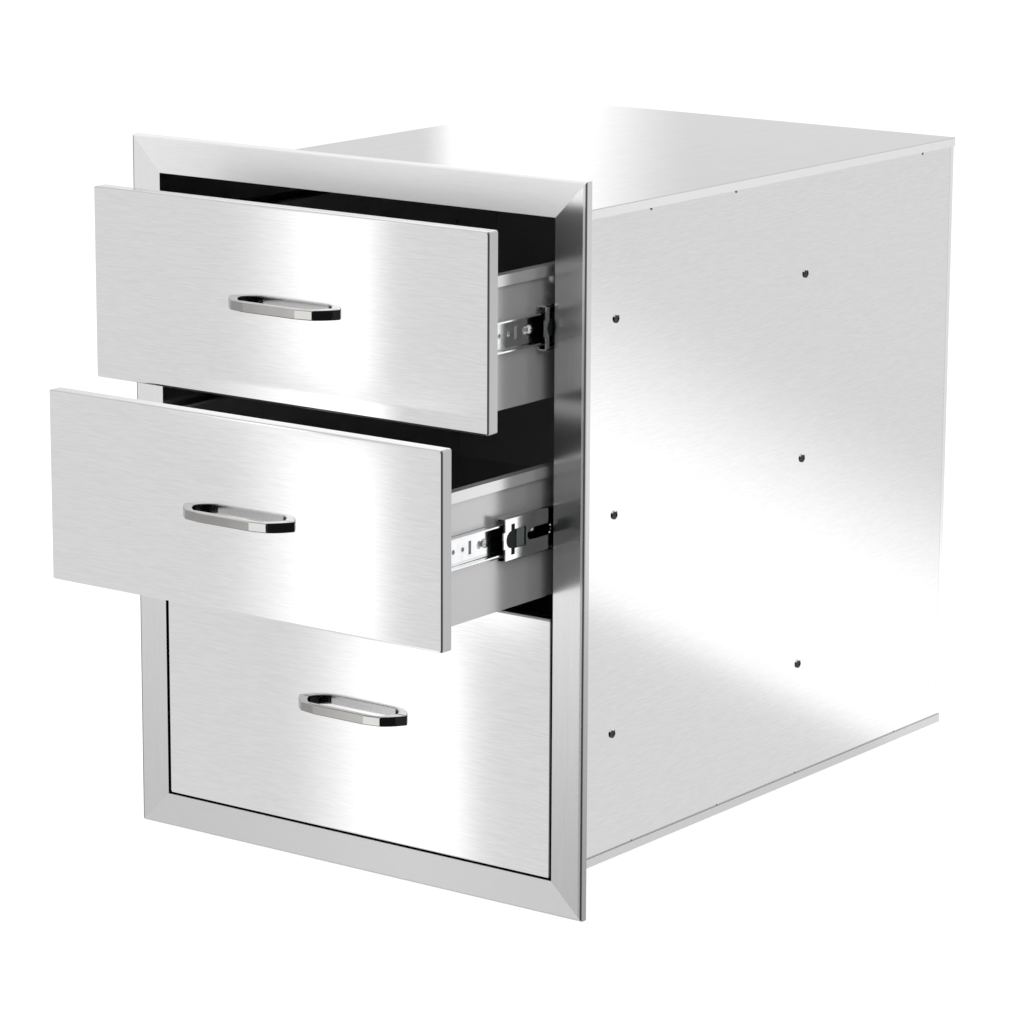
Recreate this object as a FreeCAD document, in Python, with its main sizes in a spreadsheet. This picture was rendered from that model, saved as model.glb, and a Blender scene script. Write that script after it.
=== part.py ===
import FreeCAD, Part
import os
import Sketcher
from types import SimpleNamespace

# Built-in outdoor kitchen drawer unit: a mitred trim frame, a folded sheet cabinet behind it
# and three drawers on ball-bearing slides, the upper two standing partly open.
# The origin is on the cabinet's underside, on its centre line, in the plane of the wall face
# that the trim frame seats against. X runs to the right, Y runs to the back and Z runs up.

# Driving sizes in millimetres
sizes = {
    # trim frame
    "frame_w": 457.2,
    "frame_h": 584.2,
    "frame_depth": 6.4,
    "trim_sheet": 1.0,
    "trim_bend": 0.8,
    # how far the frame stands out past the cabinet
    "base_drop": 27.0,
    "side_margin": 28.6,
    "top_margin": 29.0,
    # cabinet
    "cabinet_d": 591.3,
    "cabinet_sheet": 0.8,
    "front_flange": 18.0,
    "rear_flange": 12.0,
    "pan_lip": 7.0,
    # holes in the cabinet's sides for fastening the unit in its opening
    "fixing_hole": 4.5,
    "fixing_y": 24.0,
    "fixing_inset": 54.1,
    # drawer fronts
    "front_t": 12.0,
    "front_sheet": 0.8,
    "front_corner": 2.0,
    "front_lip": 10.0,
    "side_gap": 2.0,
    "edge_gap": 1.3,
    "between_gap": 1.4,
    "small_front_h": 155.3,
    "liner_inset": 1.5,
    # drawer trays
    "tray_sheet": 0.8,
    "tray_d": 514.2,
    "tray_low": 14.4,
    "tray_high": 36.7,
    "rim_h": 8.6,
    "rim_out": 3.4,
    "rim_in": 3.7,
    # how far each drawer stands open
    "top_pull": 82.2,
    "middle_pull": 139.2,
    "bottom_pull": 0.0,
    # slides
    "slide_t": 12.7,
    "slide_len": 500.0,
    "slide_start": 16.0,
    "small_slide_z": 71.8,
    "member_sheet": 1.2,
    "outer_h": 45.7,
    "outer_depth": 10.0,
    "member_lip": 2.7,
    "bend_r": 1.8,
    "web_gap": 1.4,
    "tip_gap": 2.0,
    "middle_len": 470.0,
    "middle_tip": 1.9,
    # share of a drawer's travel that its middle members make, and their places when closed
    "middle_share": 0.53,
    "top_float": 20.3,
    "middle_float": -0.8,
    "bottom_float": 14.0,
    "ball_d": 4.0,
    "ball_play": 0.1,
    "outer_ball_x": 5.2,
    "inner_ball_x": 7.6,
    # ball cages
    "cage_sheet": 0.6,
    "cage_play": 0.2,
    "cage_len": 180.0,
    "cage_end": 10.0,
    "cage_wall": 1.0,
    "cage_side": 0.3,
    "outer_cage_start": 134.0,
    "inner_cage_start": 184.0,
    # stop latch in the front end of each middle member
    "latch_t": 1.6,
    "latch_len": 27.0,
    "latch_start": 0.7,
    "latch_h": 26.0,
    "latch_hole": 13.6,
    "latch_hole_y": 8.0,
    "latch_slot_y": 9.7,
    "latch_slot_w": 4.6,
    "latch_slot_h": 24.0,
    "tab_out": 2.0,
    "tab_h": 13.0,
    "window_end": 26.6,
    "window_h": 15.0,
    "long_slot_start": 28.2,
    "long_slot_len": 31.0,
    "long_slot_w": 9.4,
    # holes in the drawer members
    "peep_hole": 4.0,
    "peep_first_y": 10.7,
    "peep_second_y": 22.3,
    "upright_slot_y": 31.3,
    "upright_slot_h": 10.5,
    "upright_slot_w": 3.6,
    "wide_hole": 6.4,
    "wide_hole_y": 43.0,
    # screws
    "screw_d": 3.5,
    "screw_play": 0.1,
    "head_d": 7.2,
    "head_edge": 0.9,
    "head_h": 2.2,
    "cross_w": 1.0,
    "cross_len": 4.2,
    "cross_depth": 1.2,
    "case_screw_y": 64.3,
    "case_screw_pitch": 273.9,
    "case_screw_drop": 3.8,
    "case_screw_proud": 0.2,
    "tray_screw_y": 49.5,
    "tray_screw_pitch": 200.0,
    "tray_screw_proud": 3.0,
    # handles
    "handle_len": 111.6,
    "handle_flat": 52.0,
    "handle_facet": 81.0,
    "handle_out": 19.3,
    "facet_drop": 2.8,
    "handle_t": 5.5,
    "handle_h": 8.1,
    "end_r": 40.0,
    "foot_len": 10.8,
    "foot_bevel_x": 2.3,
    "foot_bevel_y": 3.4,
    "grip_corner": 12.0,
    "grip_r": 23.0,
    "handle_screw_x": 49.4,
    "handle_screw_in": 4.6,
    "handle_hole_in": 5.2,
}

doc = FreeCAD.newDocument("drawer_unit")
dims = doc.addObject("Spreadsheet::Sheet", "dims")
for row, (name, value) in enumerate(sizes.items(), start=1):
    dims.set(f"A{row}", name)
    dims.set(f"B{row}", str(value))
    dims.setAlias(f"B{row}", name)
doc.recompute()


# A length with its value and the sheet expression that it stands for, so that one line
# of arithmetic gives a sketch both its first shape and its binding to the sheet.
class Size:
    def __init__(self, text, value):
        self.text = text
        self.value = value

    def __add__(self, other):
        other = as_size(other)
        return Size(f"({self.text} + {other.text})", self.value + other.value)

    def __sub__(self, other):
        other = as_size(other)
        return Size(f"({self.text} - {other.text})", self.value - other.value)

    def __mul__(self, other):
        other = as_size(other)
        return Size(f"({self.text} * {other.text})", self.value * other.value)

    def __truediv__(self, other):
        other = as_size(other)
        return Size(f"({self.text} / {other.text})", self.value / other.value)

    def __neg__(self):
        return Size(f"(0 - {self.text})", -self.value)

    def __radd__(self, other):
        return as_size(other) + self

    def __rsub__(self, other):
        return as_size(other) - self

    def __rmul__(self, other):
        return as_size(other) * self


def as_size(value):
    if isinstance(value, Size):
        return value
    return Size(repr(value), value)


d = SimpleNamespace(**{name: Size(f"dims.{name}", value) for name, value in sizes.items()})

# How far a cut runs past the wall that it goes through
overrun = 1.0

# Places that several pieces share
frame_half = d.frame_w / 2
frame_low = -d.base_drop
frame_high = d.frame_h - d.base_drop
face_y = -d.frame_depth
case_y = face_y + d.trim_sheet
case_rear = case_y + d.cabinet_d
case_half = frame_half - d.side_margin
case_high = frame_high - d.top_margin
inner_half = case_half - d.cabinet_sheet
inner_low = d.cabinet_sheet
inner_high = case_high - d.cabinet_sheet
front_half = inner_half - d.side_gap
tray_half = inner_half - d.slide_t
deep_front_h = inner_high - inner_low - 2 * d.edge_gap - 2 * d.between_gap - 2 * d.small_front_h
bottom_z = inner_low + d.edge_gap
middle_z = bottom_z + deep_front_h + d.between_gap
top_z = middle_z + d.small_front_h + d.between_gap
screw_hole = d.screw_d + 2 * d.screw_play

# Heights of the slide members and of the ball rows between them
race = d.ball_d + 2 * d.ball_play
outer_top = d.outer_h / 2
middle_top = outer_top - d.member_sheet - race
inner_top = middle_top - d.member_sheet - race
outer_ball_z = outer_top - d.member_sheet - race / 2
inner_ball_z = middle_top - d.member_sheet - race / 2

# Where the slide members' webs and flange tips stand, from the cabinet wall inwards
middle_web = inner_half - d.member_sheet - d.web_gap
outer_cage_web = inner_half - d.member_sheet - d.web_gap / 2 + d.cage_sheet / 2
inner_tip = middle_web - d.member_sheet - d.tip_gap
inner_cage_web = middle_web - d.member_sheet - d.cage_side

nodes = []


def plane_of(body, role):
    return [item for item in body.Origin.OriginFeatures if item.Role == role][0]


def new_body(label):
    body = doc.addObject("PartDesign::Body", label)
    body.Label = label
    return body


def keep(item):
    nodes.append(item)
    return item


# A sketch on one of the body's own planes, moved along the plane's normal to a place
# measured on the world axis. The XZ plane's normal points to the front, along -Y.
def new_sketch(body, plane, start):
    sketch = body.newObject("Sketcher::SketchObject", f"{body.Name}_sketch")
    sketch.AttachmentSupport = [(plane_of(body, f"{plane}_Plane"), "")]
    sketch.MapMode = "FlatFace"
    offset = -as_size(start) if plane == "XZ" else as_size(start)
    sketch.setExpression("AttachmentOffset.Base.z", offset.text)
    return sketch


def bind(sketch, kind, geometry, point, size):
    size = as_size(size)
    if point is None:
        number = sketch.addConstraint(Sketcher.Constraint(kind, geometry, size.value))
    else:
        number = sketch.addConstraint(Sketcher.Constraint(kind, geometry, point, size.value))
    sketch.setExpression(f"Constraints[{number}]", size.text)


# An arc of a given radius between two points. It runs anticlockwise when the radius is
# positive and clockwise when it is negative, by the shorter way round.
def arc_between(start, end, radius):
    a = FreeCAD.Vector(start[0], start[1], 0)
    b = FreeCAD.Vector(end[0], end[1], 0)
    chord = b - a
    side = FreeCAD.Vector(-chord.y, chord.x, 0).normalize()
    reach = (radius * radius - chord.Length ** 2 / 4) ** 0.5
    centre = (a + b) / 2 + side * (reach if radius > 0 else -reach)
    first, last = (a, b) if radius > 0 else (b, a)
    x_axis = FreeCAD.Vector(1, 0, 0)
    angles = []
    for point in (first, last):
        spoke = point - centre
        angle = spoke.getAngle(x_axis)
        angles.append(angle if spoke.y >= 0 else -angle)
    circle = Part.Circle(centre, FreeCAD.Vector(0, 0, 1), abs(radius))
    return Part.ArcOfCircle(circle, angles[0], angles[1])


# A closed outline. Each corner is (u, v), or (u, v, radius) where an arc leaves it,
# with a negative radius for a clockwise arc.
def draw_outline(sketch, corners):
    drawn = []
    count = len(corners)
    for index, corner in enumerate(corners):
        following = corners[(index + 1) % count]
        start = [as_size(value).value for value in corner[:2]]
        end = [as_size(value).value for value in following[:2]]
        if len(corner) == 3:
            radius = as_size(corner[2])
            geometry = sketch.addGeometry(arc_between(start, end, radius.value), False)
            ends = (1, 2) if radius.value > 0 else (2, 1)
            bind(sketch, "Radius", geometry, None, radius if radius.value > 0 else -radius)
        else:
            line = Part.LineSegment(FreeCAD.Vector(*start, 0), FreeCAD.Vector(*end, 0))
            geometry = sketch.addGeometry(line, False)
            ends = (1, 2)
        drawn.append((geometry, ends))
    for index, corner in enumerate(corners):
        geometry, ends = drawn[index]
        following, next_ends = drawn[(index + 1) % count]
        joint = Sketcher.Constraint("Coincident", geometry, ends[1], following, next_ends[0])
        sketch.addConstraint(joint)
        bind(sketch, "DistanceX", geometry, ends[0], corner[0])
        bind(sketch, "DistanceY", geometry, ends[0], corner[1])


def draw_circle(sketch, centre, diameter):
    u, v = [as_size(value) for value in centre]
    diameter = as_size(diameter)
    circle = Part.Circle(FreeCAD.Vector(u.value, v.value, 0), FreeCAD.Vector(0, 0, 1), diameter.value / 2)
    geometry = sketch.addGeometry(circle, False)
    bind(sketch, "DistanceX", geometry, 3, u)
    bind(sketch, "DistanceY", geometry, 3, v)
    bind(sketch, "Diameter", geometry, None, diameter)


# Adds the outlines' shape to the body, from a start plane towards the positive axis
def pad(body, plane, outlines, start, length):
    sketch = new_sketch(body, plane, start)
    for corners in outlines:
        draw_outline(sketch, corners)
    feature = body.newObject("PartDesign::Pad", f"{body.Name}_pad")
    feature.Profile = sketch
    feature.Reversed = plane == "XZ"
    feature.setExpression("Length", as_size(length).text)
    return feature


def finish_cut(body, plane, sketch, length):
    doc.recompute()
    before = body.Shape.Volume
    feature = body.newObject("PartDesign::Pocket", f"{body.Name}_pocket")
    feature.Profile = sketch
    feature.Reversed = plane != "XZ"
    feature.setExpression("Length", as_size(length).text)
    doc.recompute()
    if body.Shape.Volume > before - 0.01:
        raise RuntimeError(f"{feature.Label} cuts nothing")


# Takes the outlines' shape out of the body, from a start plane towards the positive axis
def cut(body, plane, outlines, start, length):
    sketch = new_sketch(body, plane, start)
    for corners in outlines:
        draw_outline(sketch, corners)
    finish_cut(body, plane, sketch, length)


def drill(body, plane, centres, diameter, start, length):
    sketch = new_sketch(body, plane, start)
    for centre in centres:
        draw_circle(sketch, centre, diameter)
    finish_cut(body, plane, sketch, length)


# Rounds the straight edges that run along one axis through the given spots, each spot
# being the two other coordinates in X, Y, Z order.
def round_edges(body, axis, spots, radius):
    doc.recompute()
    base = body.Tip
    across = [index for index in range(3) if index != "XYZ".index(axis)]
    wanted = [[as_size(value).value for value in spot] for spot in spots]
    names = []
    for number, edge in enumerate(body.Shape.Edges, start=1):
        ends = [vertex.Point for vertex in edge.Vertexes]
        for spot in wanted:
            if all(abs(end[axis_index] - place) < 0.001 for end in ends
                   for axis_index, place in zip(across, spot)):
                names.append(f"Edge{number}")
    if len(names) != len(spots):
        raise RuntimeError(f"{body.Label} has {len(names)} edges to round, not {len(spots)}")
    feature = body.newObject("PartDesign::Fillet", f"{body.Name}_fillet")
    feature.Base = (base, names)
    feature.setExpression("Radius", as_size(radius).text)


def box_outline(low_u, high_u, low_v, high_v):
    return [(low_u, low_v), (high_u, low_v), (high_u, high_v), (low_u, high_v)]


# Moves a piece to its place. A turned piece is turned half round about the Y axis, which
# makes a right-hand slide member a left-hand one.
def place(item, y, z, turned=False):
    if turned:
        item.Placement = FreeCAD.Placement(
            FreeCAD.Vector(), FreeCAD.Rotation(FreeCAD.Vector(0, 1, 0), 180)
        )
    item.setExpression(".Placement.Base.y", as_size(y).text)
    item.setExpression(".Placement.Base.z", as_size(z).text)
    return item


# Trim frame: four mitred strips with a return round the outside
def trim_strip(label, plane, inner, outer, sign, start, length):
    bend_in = d.trim_bend
    bend_out = d.trim_bend + d.trim_sheet
    turn = sign if plane == "XY" else -sign
    section = [
        (face_y, inner),
        (face_y, outer - sign * bend_out, turn * bend_out),
        (face_y + bend_out, outer),
        (0.0, outer),
        (0.0, outer - sign * d.trim_sheet),
        (case_y + bend_in, outer - sign * d.trim_sheet, -turn * bend_in),
        (case_y, outer - sign * (d.trim_sheet + bend_in)),
        (case_y, inner),
    ]
    if plane == "XY":
        section = [(corner[1], corner[0], *corner[2:]) for corner in section]
    body = new_body(label)
    pad(body, plane, [section], start, length)
    return keep(body)


def mitre(body, outline):
    cut(body, "XZ", [outline], face_y - overrun, d.frame_depth + 2 * overrun)


def trim_rail(label, inner, outer, sign):
    body = trim_strip(label, "YZ", inner, outer, sign, -frame_half, d.frame_w)
    for side in (1, -1):
        far = side * (frame_half + overrun)
        mitre(body, [(side * inner_half, inner), (side * frame_half, outer), (far, outer), (far, inner)])


def trim_stile(label, side):
    inner = side * inner_half
    outer = side * frame_half
    body = trim_strip(label, "XY", inner, outer, side, frame_low, d.frame_h)
    for low, corner, far in (
        (inner_low, frame_low, frame_low - overrun),
        (inner_high, frame_high, frame_high + overrun),
    ):
        mitre(body, [(inner, low), (outer, corner), (outer, far), (inner, far)])


trim_rail("trim_top_rail", inner_high, frame_high, 1)
trim_rail("trim_bottom_rail", inner_low, frame_low, -1)
trim_stile("trim_left_stile", -1)
trim_stile("trim_right_stile", 1)

# Cabinet: two side panels with folded flanges, two pans that lap over them and a back panel
side_rear = case_rear - 2 * d.cabinet_sheet
slide_y = face_y + d.slide_start
slide_levels = {
    "top": top_z + d.small_slide_z,
    "middle": middle_z + d.small_slide_z,
    "bottom": bottom_z + deep_front_h / 2,
}
case_screw_ys = [slide_y + d.case_screw_y + step * d.case_screw_pitch for step in (0, 1)]


def cabinet_side(label, side):
    body = new_body(label)
    flange_x = inner_half + d.front_flange
    section = [
        (inner_half, case_y),
        (flange_x, case_y),
        (flange_x, case_y + d.cabinet_sheet),
        (case_half, case_y + d.cabinet_sheet),
        (case_half, side_rear),
        (inner_half - d.rear_flange, side_rear),
        (inner_half - d.rear_flange, side_rear - d.cabinet_sheet),
        (inner_half, side_rear - d.cabinet_sheet),
    ]
    section = [(side * x, y) for x, y in section]
    pad(body, "XY", [section], inner_low, inner_high - inner_low)
    wall = inner_half - overrun if side > 0 else -case_half - overrun
    through = d.cabinet_sheet + 2 * overrun
    screw_spots = [(y, z - d.case_screw_drop) for z in slide_levels.values() for y in case_screw_ys]
    drill(body, "YZ", screw_spots, screw_hole, wall, through)
    fixing_spots = [(d.fixing_y, d.fixing_inset), (d.fixing_y, case_high - d.fixing_inset)]
    drill(body, "YZ", fixing_spots, d.fixing_hole, wall, through)
    keep(body)


def cabinet_pan(label, turned):
    body = new_body(label)
    pan_half = case_half + d.cabinet_sheet
    lip_top = d.cabinet_sheet + d.pan_lip
    section = [
        (case_y, -d.front_flange),
        (case_y + d.cabinet_sheet, -d.front_flange),
        (case_y + d.cabinet_sheet, 0.0),
        (case_rear, 0.0),
        (case_rear, lip_top),
        (case_rear - d.cabinet_sheet, lip_top),
        (case_rear - d.cabinet_sheet, inner_low),
        (case_y, inner_low),
    ]
    pad(body, "YZ", [section], -pan_half, 2 * pan_half)
    lips = [box_outline(case_half, pan_half, 0.0, lip_top), box_outline(-pan_half, -case_half, 0.0, lip_top)]
    lip_start = case_y + d.cabinet_sheet
    pad(body, "XZ", lips, lip_start, case_rear - lip_start)
    keep(place(body, 0.0, case_high if turned else 0.0, turned))


def cabinet_back():
    body = new_body("cabinet_back")
    pad(body, "XZ", [box_outline(-case_half, case_half, inner_low, inner_high)], side_rear, d.cabinet_sheet)
    keep(body)


cabinet_side("cabinet_left_side", -1)
cabinet_side("cabinet_right_side", 1)
cabinet_pan("cabinet_bottom", False)
cabinet_pan("cabinet_top", True)
cabinet_back()


# A pan-head screw with a cross recess. Its head stands on the XY plane, its shank points down.
def screw_pattern(label, length):
    body = new_body(label)
    radius = d.screw_d / 2
    head = d.head_d / 2
    sketch = new_sketch(body, "XZ", 0.0)
    dome = head * 1.6
    draw_outline(sketch, [
        (0.0, -length),
        (radius, -length),
        (radius, 0.0),
        (head, 0.0),
        (head, d.head_edge, dome),
        (0.0, d.head_h),
    ])
    feature = body.newObject("PartDesign::Revolution", f"{label}_turned")
    feature.Profile = sketch
    feature.ReferenceAxis = (sketch, ["V_Axis"])
    feature.Angle = 360
    arm = d.cross_len / 2
    half = d.cross_w / 2
    cross = [
        (arm, -half), (arm, half), (half, half), (half, arm),
        (-half, arm), (-half, half), (-arm, half), (-arm, -half),
        (-half, -half), (-half, -arm), (half, -arm), (half, -half),
    ]
    cut(body, "XY", [cross], d.head_h - d.cross_depth, d.cross_depth + overrun)
    return body


# Which way a screw's head points
head_right = FreeCAD.Rotation(FreeCAD.Vector(0, 1, 0), 90)
head_left = FreeCAD.Rotation(FreeCAD.Vector(0, 1, 0), -90)
head_back = FreeCAD.Rotation(FreeCAD.Vector(1, 0, 0), -90)


# One node that holds copies of a piece, each at its own place
def group(label, pattern, spots):
    copies = []
    for number, (x, y, z, rotation) in enumerate(spots, start=1):
        link = doc.addObject("App::Link", f"{label}_{number}")
        link.LinkedObject = pattern
        link.Placement = FreeCAD.Placement(FreeCAD.Vector(), rotation)
        for axis, size in zip("xyz", (x, y, z)):
            link.setExpression(f".Placement.Base.{axis}", as_size(size).text)
        copies.append(link)
    compound = doc.addObject("Part::Compound", label)
    compound.Label = label
    compound.Links = copies
    return keep(compound)


case_screw = screw_pattern("case_screw", d.cabinet_sheet + d.member_sheet + d.case_screw_proud)
group("cabinet_slide_screws", case_screw, [
    (side * case_half, y, z - d.case_screw_drop, head_right if side > 0 else head_left)
    for side in (1, -1) for z in slide_levels.values() for y in case_screw_ys
])


# A slide member or ball cage: a channel whose web stands at web_x and whose flanges run
# sideways to tip_x, drawn about the slide's centre line for the right-hand side.
def channel(label, web_x, tip_x, half_height, sheet, length, lip=None):
    body = new_body(label)
    inward = sheet if tip_x.value > web_x.value else -sheet
    web_in = web_x + inward
    under = half_height - sheet
    bends = [(web_x, half_height)]
    inner_bends = [(web_in, under)]
    if lip is None:
        end = [(tip_x, half_height), (tip_x, under)]
    else:
        lip_in = tip_x - inward
        lip_z = half_height - lip
        end = [(tip_x, half_height), (tip_x, lip_z), (lip_in, lip_z), (lip_in, under)]
        bends.append((tip_x, half_height))
        inner_bends.append((lip_in, under))
    upper = [(web_x, half_height), *end, (web_in, under)]
    lower = [(x, -z) for x, z in reversed(upper)]
    pad(body, "XZ", [upper + lower], 0.0, length)
    round_edges(body, "Y", [(x, sign * z) for x, z in bends for sign in (1, -1)], d.bend_r)
    spots = [(x, sign * z) for x, z in inner_bends for sign in (1, -1)]
    round_edges(body, "Y", spots, d.bend_r - sheet)
    return body


# A slot with round ends. Each end is drawn as two quarter turns.
def level_slot(centre_y, length, width):
    half = width / 2
    near = centre_y - length / 2
    far = centre_y + length / 2
    return [
        (near + half, -half), (far - half, -half, half), (far, 0.0, half),
        (far - half, half), (near + half, half, half), (near, 0.0, half),
    ]


drawer_sides = {"right": False, "left": True}


def outer_member(label, turned, level):
    tip = inner_half - d.outer_depth
    body = channel(label, inner_half, tip, outer_top, d.member_sheet, d.slide_len, d.member_lip)
    drop = d.case_screw_drop if turned else -d.case_screw_drop
    spots = [(y - slide_y, drop) for y in case_screw_ys]
    start = inner_half - d.member_sheet - overrun
    drill(body, "YZ", spots, screw_hole, start, d.member_sheet + 2 * overrun)
    keep(place(body, slide_y, level, turned))


def middle_member(label, turned, y, level):
    tip = tray_half + d.middle_tip
    body = channel(label, middle_web, tip, middle_top, d.member_sheet, d.middle_len, d.member_lip)
    half_tab = d.tab_h / 2
    web_in = middle_web - d.member_sheet
    pad(body, "YZ", [box_outline(-d.tab_out, d.bend_r, -half_tab, half_tab)], web_in, d.member_sheet)
    start = web_in - overrun
    through = d.member_sheet + 2 * overrun
    half_slot = d.latch_slot_w / 2
    slot_half_h = d.latch_slot_h / 2
    window_half_h = d.window_h / 2
    slot_near = d.latch_slot_y - half_slot
    slot = box_outline(slot_near, slot_near + d.latch_slot_w, -slot_half_h, slot_half_h)
    window = box_outline(d.latch_hole_y, d.window_end, -window_half_h, window_half_h)
    drill(body, "YZ", [(d.latch_hole_y, 0.0)], d.latch_hole, start, through)
    cut(body, "YZ", [slot], start, through)
    cut(body, "YZ", [window], start, through)
    long_slot = level_slot(d.long_slot_start + d.long_slot_len / 2, d.long_slot_len, d.long_slot_w)
    cut(body, "YZ", [long_slot], start, through)
    keep(place(body, y, level, turned))


def inner_member(label, turned, y, level):
    body = channel(label, tray_half, inner_tip, inner_top, d.member_sheet, d.slide_len)
    start = tray_half - overrun
    through = d.member_sheet + 2 * overrun
    drill(body, "YZ", [(place_y, 0.0) for place_y in tray_screw_ys], screw_hole, start, through)
    drill(body, "YZ", [(d.peep_first_y, 0.0), (d.peep_second_y, 0.0)], d.peep_hole, start, through)
    drill(body, "YZ", [(d.wide_hole_y, 0.0)], d.wide_hole, start, through)
    half_slot = d.upright_slot_w / 2
    half_height = d.upright_slot_h / 2
    cut(body, "YZ", [
        box_outline(d.upright_slot_y - half_slot, d.upright_slot_y + half_slot, -half_height, half_height),
    ], start, through)
    keep(place(body, y, level, turned))


tray_screw_ys = [d.tray_screw_y + step * d.tray_screw_pitch for step in (0, 1, 2)]
balls_per_row = 6
ball_pitch = (d.cage_len - 2 * d.cage_end) / (balls_per_row - 1)
ball_ys = [d.cage_end + step * ball_pitch for step in range(balls_per_row)]


# A pair of ball cages, one for each side, and the balls that they carry
def cage_pair(label, web_x, tip_x, ball_x, ball_z, y, level):
    half_height = ball_z + d.cage_sheet / 2
    cage = channel(f"{label}_cage", web_x, tip_x, half_height, d.cage_sheet, d.cage_len)
    spots = [(ball_x, place_y) for place_y in ball_ys]
    hole = d.ball_d + 2 * d.cage_play
    drill(cage, "XY", spots, hole, -half_height - overrun, 2 * half_height + 2 * overrun)
    no_turn = FreeCAD.Rotation()
    half_turn = FreeCAD.Rotation(FreeCAD.Vector(0, 1, 0), 180)
    group(f"{label}_ball_cages", cage, [(0.0, y, level, no_turn), (0.0, y, level, half_turn)])
    balls = []
    for side in (1, -1):
        for up in (1, -1):
            for number, place_y in enumerate(ball_ys, start=1):
                ball = doc.addObject("Part::Sphere", f"{label}_ball")
                ball.setExpression("Radius", (d.ball_d / 2).text)
                ball.setExpression(".Placement.Base.x", (side * ball_x).text)
                ball.setExpression(".Placement.Base.y", (y + place_y).text)
                ball.setExpression(".Placement.Base.z", (level + up * ball_z).text)
                balls.append(ball)
    compound = doc.addObject("Part::Compound", f"{label}_balls")
    compound.Label = f"{label}_balls"
    compound.Links = balls
    keep(compound)


# The plastic stop latch behind the cut-outs of a middle member
def latch_pair(label, y, level):
    latch = new_body(f"{label}_pattern")
    back = middle_web - d.member_sheet - d.latch_t
    half = d.latch_h / 2
    end = d.latch_start + d.latch_len
    pad(latch, "YZ", [box_outline(d.latch_start, end, -half, half)], back, d.latch_t)
    no_turn = FreeCAD.Rotation()
    half_turn = FreeCAD.Rotation(FreeCAD.Vector(0, 1, 0), 180)
    group(label, latch, [(0.0, y, level, no_turn), (0.0, y, level, half_turn)])


# A drawer front: a pan of folded sheet, open at the back between its lips
def drawer_front(label, height, y, z):
    body = new_body(label)
    pad(body, "XZ", [box_outline(-front_half, front_half, 0.0, height)], 0.0, d.front_t)
    corners = [(side * front_half, level) for side in (1, -1) for level in (0.0, height)]
    round_edges(body, "Y", corners, d.front_corner)
    inside = front_half - d.front_sheet
    hollow = box_outline(-inside, inside, d.front_sheet, height - d.front_sheet)
    cut(body, "XZ", [hollow], d.front_sheet, d.front_t - d.front_sheet + overrun)
    opening = inside - d.front_lip
    ring = box_outline(-opening, opening, d.front_sheet + d.front_lip, height - d.front_sheet - d.front_lip)
    pad(body, "XZ", [hollow, ring], d.front_t - d.front_sheet, d.front_sheet)
    spots = [(side * d.handle_screw_x, height / 2) for side in (1, -1)]
    drill(body, "XZ", spots, screw_hole, -overrun, d.front_sheet + 2 * overrun)
    keep(place(body, y, z))


# A drawer tray: welded sheet with a liner that closes the back of the drawer front
def drawer_tray(label, height, slide_height, y, z):
    body = new_body(label)
    liner_half = front_half - d.liner_inset
    liner = box_outline(-liner_half, liner_half, d.liner_inset, height - d.liner_inset)
    pad(body, "XZ", [liner], d.front_t, d.tray_sheet)
    tray_y = d.front_t + d.tray_sheet
    tray_end = tray_y + d.tray_d
    top = height - d.tray_high
    outside = box_outline(-tray_half, tray_half, tray_y, tray_end)
    pad(body, "XY", [outside], d.tray_low, top - d.tray_low)
    inside = tray_half - d.tray_sheet
    room = box_outline(-inside, inside, tray_y, tray_end - d.tray_sheet)
    cut(body, "XY", [room], d.tray_low + d.tray_sheet, top - d.tray_low)
    # a folded cap along the top edge of each side wall
    out = tray_half + d.rim_out
    rim_in = inside - d.rim_in
    under = top - d.tray_sheet
    skirt = top - d.rim_h
    cap = [
        (rim_in, top), (out, top), (out, skirt), (out - d.tray_sheet, skirt),
        (out - d.tray_sheet, under), (rim_in + d.tray_sheet, under),
        (rim_in + d.tray_sheet, skirt), (rim_in, skirt),
    ]
    cap_end = tray_end - d.tray_sheet
    for side in (1, -1):
        pad(body, "XZ", [[(side * x, level) for x, level in cap]], tray_y, cap_end - tray_y)
    spots = [(side * d.handle_screw_x, height / 2) for side in (1, -1)]
    drill(body, "XZ", spots, screw_hole, d.front_t - overrun, d.tray_sheet + 2 * overrun)
    spots = [(d.slide_start + place_y, slide_height) for place_y in tray_screw_ys]
    for start in (inside - overrun, -tray_half - overrun):
        drill(body, "YZ", spots, screw_hole, start, d.tray_sheet + 2 * overrun)
    keep(place(body, y, z))


# A bow handle: a flat bar whose ends turn back through a facet and a wide bend to its feet
def drawer_handle(label, y, z):
    body = new_body(label)
    end = d.handle_len / 2
    bevel = end - d.foot_bevel_x
    facet = d.handle_facet / 2
    flat = d.handle_flat / 2
    out = -d.handle_out
    facet_y = out + d.facet_drop
    grip_y = out + d.handle_t
    foot = end - d.foot_len
    grip = foot - d.grip_corner
    section = [
        (-end, 0.0), (-bevel, -d.foot_bevel_y, d.end_r), (-facet, facet_y), (-flat, out),
        (flat, out), (facet, facet_y, d.end_r), (bevel, -d.foot_bevel_y), (end, 0.0),
        (foot, 0.0, -d.grip_r), (grip, grip_y), (-grip, grip_y, -d.grip_r), (-foot, 0.0),
    ]
    pad(body, "XY", [section], -d.handle_h / 2, d.handle_h)
    spots = [(side * d.handle_screw_x, 0.0) for side in (1, -1)]
    drill(body, "XZ", spots, screw_hole, -d.handle_hole_in, d.handle_hole_in + overrun)
    keep(place(body, y, z))


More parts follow.
